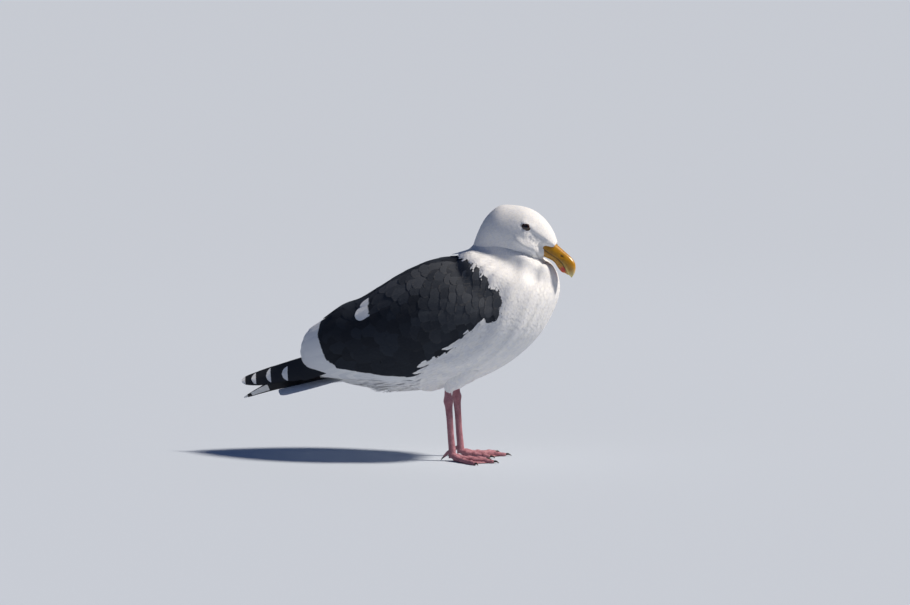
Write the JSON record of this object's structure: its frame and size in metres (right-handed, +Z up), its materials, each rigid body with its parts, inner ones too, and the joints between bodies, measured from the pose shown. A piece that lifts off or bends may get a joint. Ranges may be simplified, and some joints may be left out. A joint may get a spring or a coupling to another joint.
{
  "type": "standing gull",
  "caption": "Large gull at rest on both feet, neck drawn in, bill pointing down, wings folded over a closed tail.",
  "frame": {"origin": "middle of the bird's box, on the floor that its feet rest on", "axes": "+X the way the body faces, +Y the bird's left, +Z up"},
  "size_m": [0.4494, 0.152, 0.3335],
  "materials": {
    "white_plumage": "soft matt feather",
    "slate_plumage": "matt feather with a slight sheen",
    "black_plumage": "smooth flight feather",
    "bill": "horn, satin",
    "leg": "scaly skin, satin",
    "claw": "horn, satin",
    "eye": "wet cornea"
  },
  "bodies": {
    "root": {"head": "white_plumage", "neck": "white_plumage", "bill_upper": "bill", "bill_lower": "bill", "tail": "white_plumage", "mantle": "slate_plumage", "eye_left": "eye", "wing_left": "slate_plumage", "primaries_left": "black_plumage", "thigh_left": "white_plumage", "shank_left": "leg", "foot_left": "leg", "hind_toe_left": "leg", "claw_left_inner": "claw", "claw_left_middle": "claw", "claw_left_outer": "claw", "claw_left_hind": "claw", "eye_right": "eye", "wing_right": "slate_plumage", "primaries_right": "black_plumage", "thigh_right": "white_plumage", "shank_right": "leg", "foot_right": "leg", "hind_toe_right": "leg", "claw_right_inner": "claw", "claw_right_middle": "claw", "claw_right_outer": "claw", "claw_right_hind": "claw", "trunk": "white_plumage"}
  },
  "joints": []
}
